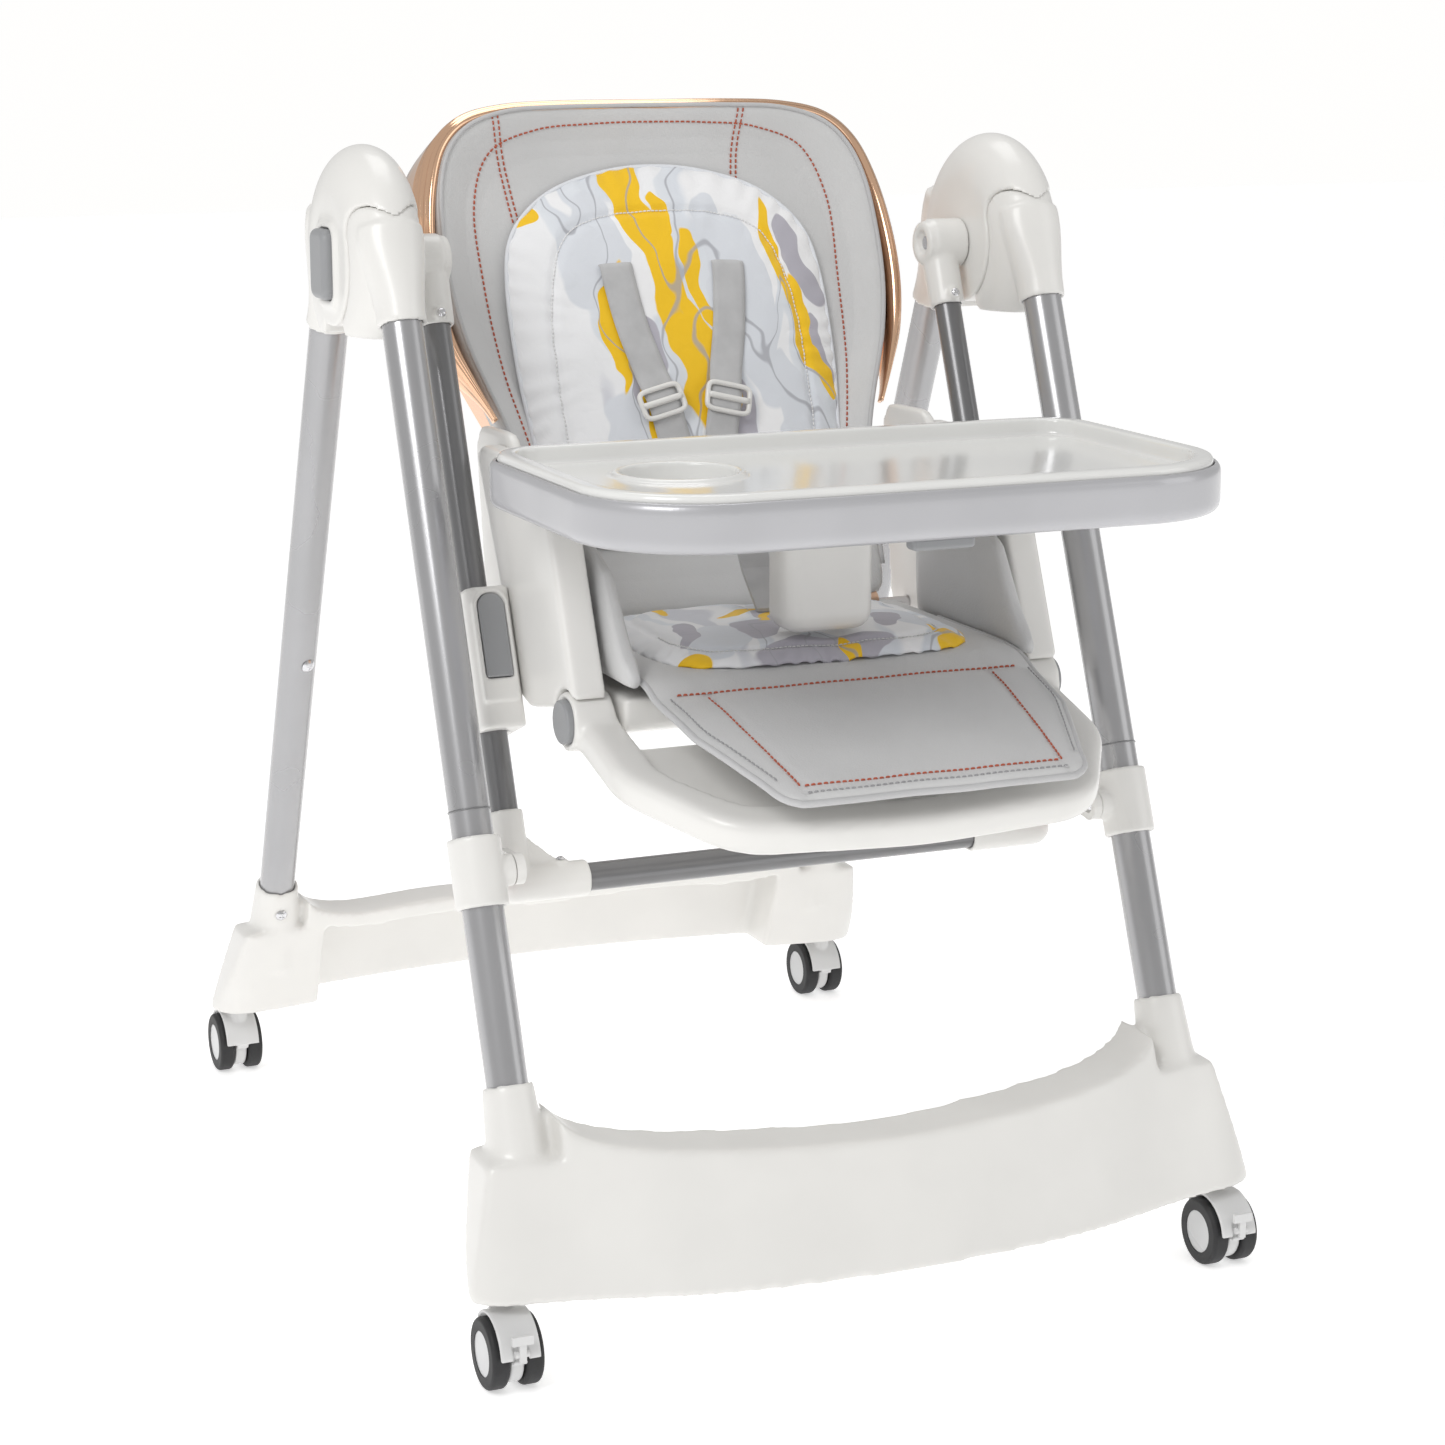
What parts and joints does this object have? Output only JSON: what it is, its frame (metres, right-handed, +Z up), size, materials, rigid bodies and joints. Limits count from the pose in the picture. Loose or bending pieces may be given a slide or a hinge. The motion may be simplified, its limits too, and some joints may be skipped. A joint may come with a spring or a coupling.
{
  "type": "baby high chair",
  "caption": "Folding baby high chair with swing hubs, height slides, reclining padded back, leg rest, sliding tray with cup recess and twin-wheel casters.",
  "frame": {"origin": "on the floor under the centre of the chair's footprint box, casters at rest", "axes": "+Z up, the chair faces -Y, +X is to the left of a child sitting in it"},
  "size_m": [0.624, 0.8757, 0.8617],
  "materials": {
    "leg_metal": "satin grey paint",
    "swing_metal": "satin dark grey paint",
    "white_plastic": "warm white, satin gloss",
    "screw_chrome": "polished",
    "pin_steel": "turned",
    "button_grey": "fine grain",
    "lever_white": "satin gloss",
    "tab_red": "satin",
    "leatherette": "soft light grey grain with red-orange stitching",
    "print_fabric": "white with grey and blue-grey marbling and yellow streaks",
    "webbing": "woven light grey",
    "buckle_plastic": "satin",
    "rose_gold": "rose-gold plated, mirror polished",
    "shell_plastic": "rose-gold coloured, gloss",
    "tray_silver": "silver-grey, satin",
    "caster_white": "satin",
    "tyre_black": "matt",
    "wheel_grey": "satin"
  },
  "bodies": {
    "front_frame": {"front_legs": "leg_metal", "front_beam": "white_plastic", "front_sockets": "white_plastic", "leg_sleeves": "white_plastic", "front_frame_screws": "screw_chrome"},
    "rear_frame": {"hub_housings": "white_plastic", "rear_legs": "leg_metal", "rear_beam": "white_plastic", "rear_frame_screws": "screw_chrome", "hub_hinge_pins": "pin_steel"},
    "fold_button_left_body": {"fold_button_left": "button_grey"},
    "fold_button_right_body": {"fold_button_right": "button_grey"},
    "swing_frame": {"swing_tees": "white_plastic", "swing_tubes": "swing_metal", "corner_brackets": "white_plastic", "crossbar": "swing_metal", "swing_frame_screws": "screw_chrome"},
    "lock_lever_left_body": {"lock_lever_left": "lever_white", "lock_tab_left": "tab_red"},
    "lock_lever_right_body": {"lock_lever_right": "lever_white", "lock_tab_right": "tab_red"},
    "seat_carrier": {"height_sliders": "white_plastic", "side_panels": "white_plastic", "seat_shell": "white_plastic", "pad_seat": "leatherette", "cushion_seat": "print_fabric", "crotch_strap": "webbing", "harness_buckle": "buckle_plastic", "recline_pin": "pin_steel"},
    "height_button_left_body": {"height_button_left": "button_grey"},
    "height_button_right_body": {"height_button_right": "button_grey"},
    "backrest": {"backrest_shell": "shell_plastic", "backrest_trim": "rose_gold", "pad_back": "leatherette", "cushion_back": "print_fabric", "shoulder_straps": "webbing", "strap_buckles": "buckle_plastic"},
    "recline_handle_body": {"recline_handle": "button_grey"},
    "legrest": {"legrest_frame": "white_plastic", "pad_legrest": "leatherette"},
    "legrest_button_left_body": {"legrest_button_left": "button_grey"},
    "legrest_button_right_body": {"legrest_button_right": "button_grey"},
    "tray": {"tray_base": "tray_silver", "tray_underframe": "white_plastic"},
    "tray_top_body": {"tray_top": "white_plastic"},
    "tray_release_body": {"tray_release": "button_grey"},
    "caster_swivel_fl": {"caster_hood_fl": "caster_white"},
    "caster_wheel_fl": {"caster_tyres_fl": "tyre_black", "caster_wheels_fl": "wheel_grey"},
    "caster_swivel_fr": {"caster_hood_fr": "caster_white"},
    "caster_wheel_fr": {"caster_tyres_fr": "tyre_black", "caster_wheels_fr": "wheel_grey"},
    "caster_swivel_rl": {"caster_hood_rl": "caster_white"},
    "caster_wheel_rl": {"caster_tyres_rl": "tyre_black", "caster_wheels_rl": "wheel_grey"},
    "caster_swivel_rr": {"caster_hood_rr": "caster_white"},
    "caster_wheel_rr": {"caster_tyres_rr": "tyre_black", "caster_wheels_rr": "wheel_grey"},
    "brake_fl": {"brake_tab_fl": "caster_white"},
    "brake_fr": {"brake_tab_fr": "caster_white"}
  },
  "joints": [
    {"name": "rear_fold", "type": "hinge", "parent": "front_frame", "child": "rear_frame", "pos_m": [0, 0.0205, 0.746], "axis": [1, 0, 0], "range_deg": [-44, 0]},
    {"name": "seat_swing", "type": "hinge", "parent": "front_frame", "child": "swing_frame", "pos_m": [0, 0.0205, 0.746], "axis": [1, 0, 0], "range_deg": [-6, 16]},
    {"name": "fold_button_left_press", "type": "slide", "parent": "rear_frame", "child": "fold_button_left_body", "axis": [1, 0, 0], "range_m": [0, 0.005], "stiffness_N_per_m": 300},
    {"name": "fold_button_right_press", "type": "slide", "parent": "rear_frame", "child": "fold_button_right_body", "axis": [-1, 0, 0], "range_m": [0, 0.005], "stiffness_N_per_m": 300},
    {"name": "lock_lever_left_turn", "type": "hinge", "parent": "front_frame", "child": "lock_lever_left_body", "pos_m": [-0.232, -0.21598, 0.3346], "axis": [1, 0, 0], "range_deg": [0, 22], "stiffness_Nm_per_rad": 0.15},
    {"name": "lock_lever_right_turn", "type": "hinge", "parent": "front_frame", "child": "lock_lever_right_body", "pos_m": [0.232, -0.21598, 0.3346], "axis": [1, 0, 0], "range_deg": [0, 22], "stiffness_Nm_per_rad": 0.15},
    {"name": "seat_height", "type": "slide", "parent": "swing_frame", "child": "seat_carrier", "axis": [0, 0.3714, 0.9285], "range_m": [-0.04, 0.14]},
    {"name": "height_button_left_press", "type": "slide", "parent": "seat_carrier", "child": "height_button_left_body", "axis": [0, 0.9285, -0.3714], "range_m": [0, 0.003], "stiffness_N_per_m": 300},
    {"name": "height_button_right_press", "type": "slide", "parent": "seat_carrier", "child": "height_button_right_body", "axis": [0, 0.9285, -0.3714], "range_m": [0, 0.003], "stiffness_N_per_m": 300},
    {"name": "back_recline", "type": "hinge", "parent": "seat_carrier", "child": "backrest", "pos_m": [0, -0.0249, 0.4648], "axis": [1, 0, 0], "range_deg": [-45, 0]},
    {"name": "recline_handle_pull", "type": "slide", "parent": "backrest", "child": "recline_handle_body", "axis": [0, 0.3714, 0.9285], "range_m": [0, 0.006], "stiffness_N_per_m": 300},
    {"name": "legrest_fold", "type": "hinge", "parent": "seat_carrier", "child": "legrest", "pos_m": [0, -0.2119, 0.437], "axis": [1, 0, 0], "range_deg": [-8, 60]},
    {"name": "legrest_button_left_press", "type": "slide", "parent": "legrest", "child": "legrest_button_left_body", "axis": [1, 0, 0], "range_m": [0, 0.003], "stiffness_N_per_m": 300},
    {"name": "legrest_button_right_press", "type": "slide", "parent": "legrest", "child": "legrest_button_right_body", "axis": [-1, 0, 0], "range_m": [0, 0.003], "stiffness_N_per_m": 300},
    {"name": "tray_slide", "type": "slide", "parent": "seat_carrier", "child": "tray", "axis": [0, 1, 0], "range_m": [-0.06, 0]},
    {"name": "tray_top_lift", "type": "slide", "parent": "tray", "child": "tray_top_body", "axis": [0, 0, 1], "range_m": [0, 0.12]},
    {"name": "tray_release_pull", "type": "slide", "parent": "tray", "child": "tray_release_body", "axis": [0, -1, 0], "range_m": [0, 0.005], "stiffness_N_per_m": 300},
    {"name": "caster_turn_fl", "type": "hinge", "parent": "front_frame", "child": "caster_swivel_fl", "pos_m": [-0.286, -0.3198, 0.06], "axis": [0, 0, 1], "continuous": true},
    {"name": "wheel_roll_fl", "type": "hinge", "parent": "caster_swivel_fl", "child": "caster_wheel_fl", "pos_m": [-0.286, -0.3328, 0.0255], "axis": [1, 0, 0], "continuous": true},
    {"name": "brake_press_fl", "type": "hinge", "parent": "caster_swivel_fl", "child": "brake_fl", "pos_m": [-0.286, -0.3631, 0.0345], "axis": [1, 0, 0], "range_deg": [0, 14], "stiffness_Nm_per_rad": 0.02},
    {"name": "caster_turn_fr", "type": "hinge", "parent": "front_frame", "child": "caster_swivel_fr", "pos_m": [0.286, -0.3198, 0.06], "axis": [0, 0, 1], "continuous": true},
    {"name": "wheel_roll_fr", "type": "hinge", "parent": "caster_swivel_fr", "child": "caster_wheel_fr", "pos_m": [0.286, -0.3328, 0.0255], "axis": [1, 0, 0], "continuous": true},
    {"name": "brake_press_fr", "type": "hinge", "parent": "caster_swivel_fr", "child": "brake_fr", "pos_m": [0.286, -0.3631, 0.0345], "axis": [1, 0, 0], "range_deg": [0, 14], "stiffness_Nm_per_rad": 0.02},
    {"name": "caster_turn_rl", "type": "hinge", "parent": "rear_frame", "child": "caster_swivel_rl", "pos_m": [-0.286, 0.3883, 0.06], "axis": [0, 0, 1], "continuous": true},
    {"name": "wheel_roll_rl", "type": "hinge", "parent": "caster_swivel_rl", "child": "caster_wheel_rl", "pos_m": [-0.286, 0.4013, 0.0255], "axis": [1, 0, 0], "continuous": true},
    {"name": "caster_turn_rr", "type": "hinge", "parent": "rear_frame", "child": "caster_swivel_rr", "pos_m": [0.286, 0.3883, 0.06], "axis": [0, 0, 1], "continuous": true},
    {"name": "wheel_roll_rr", "type": "hinge", "parent": "caster_swivel_rr", "child": "caster_wheel_rr", "pos_m": [0.286, 0.4013, 0.0255], "axis": [1, 0, 0], "continuous": true}
  ]
}
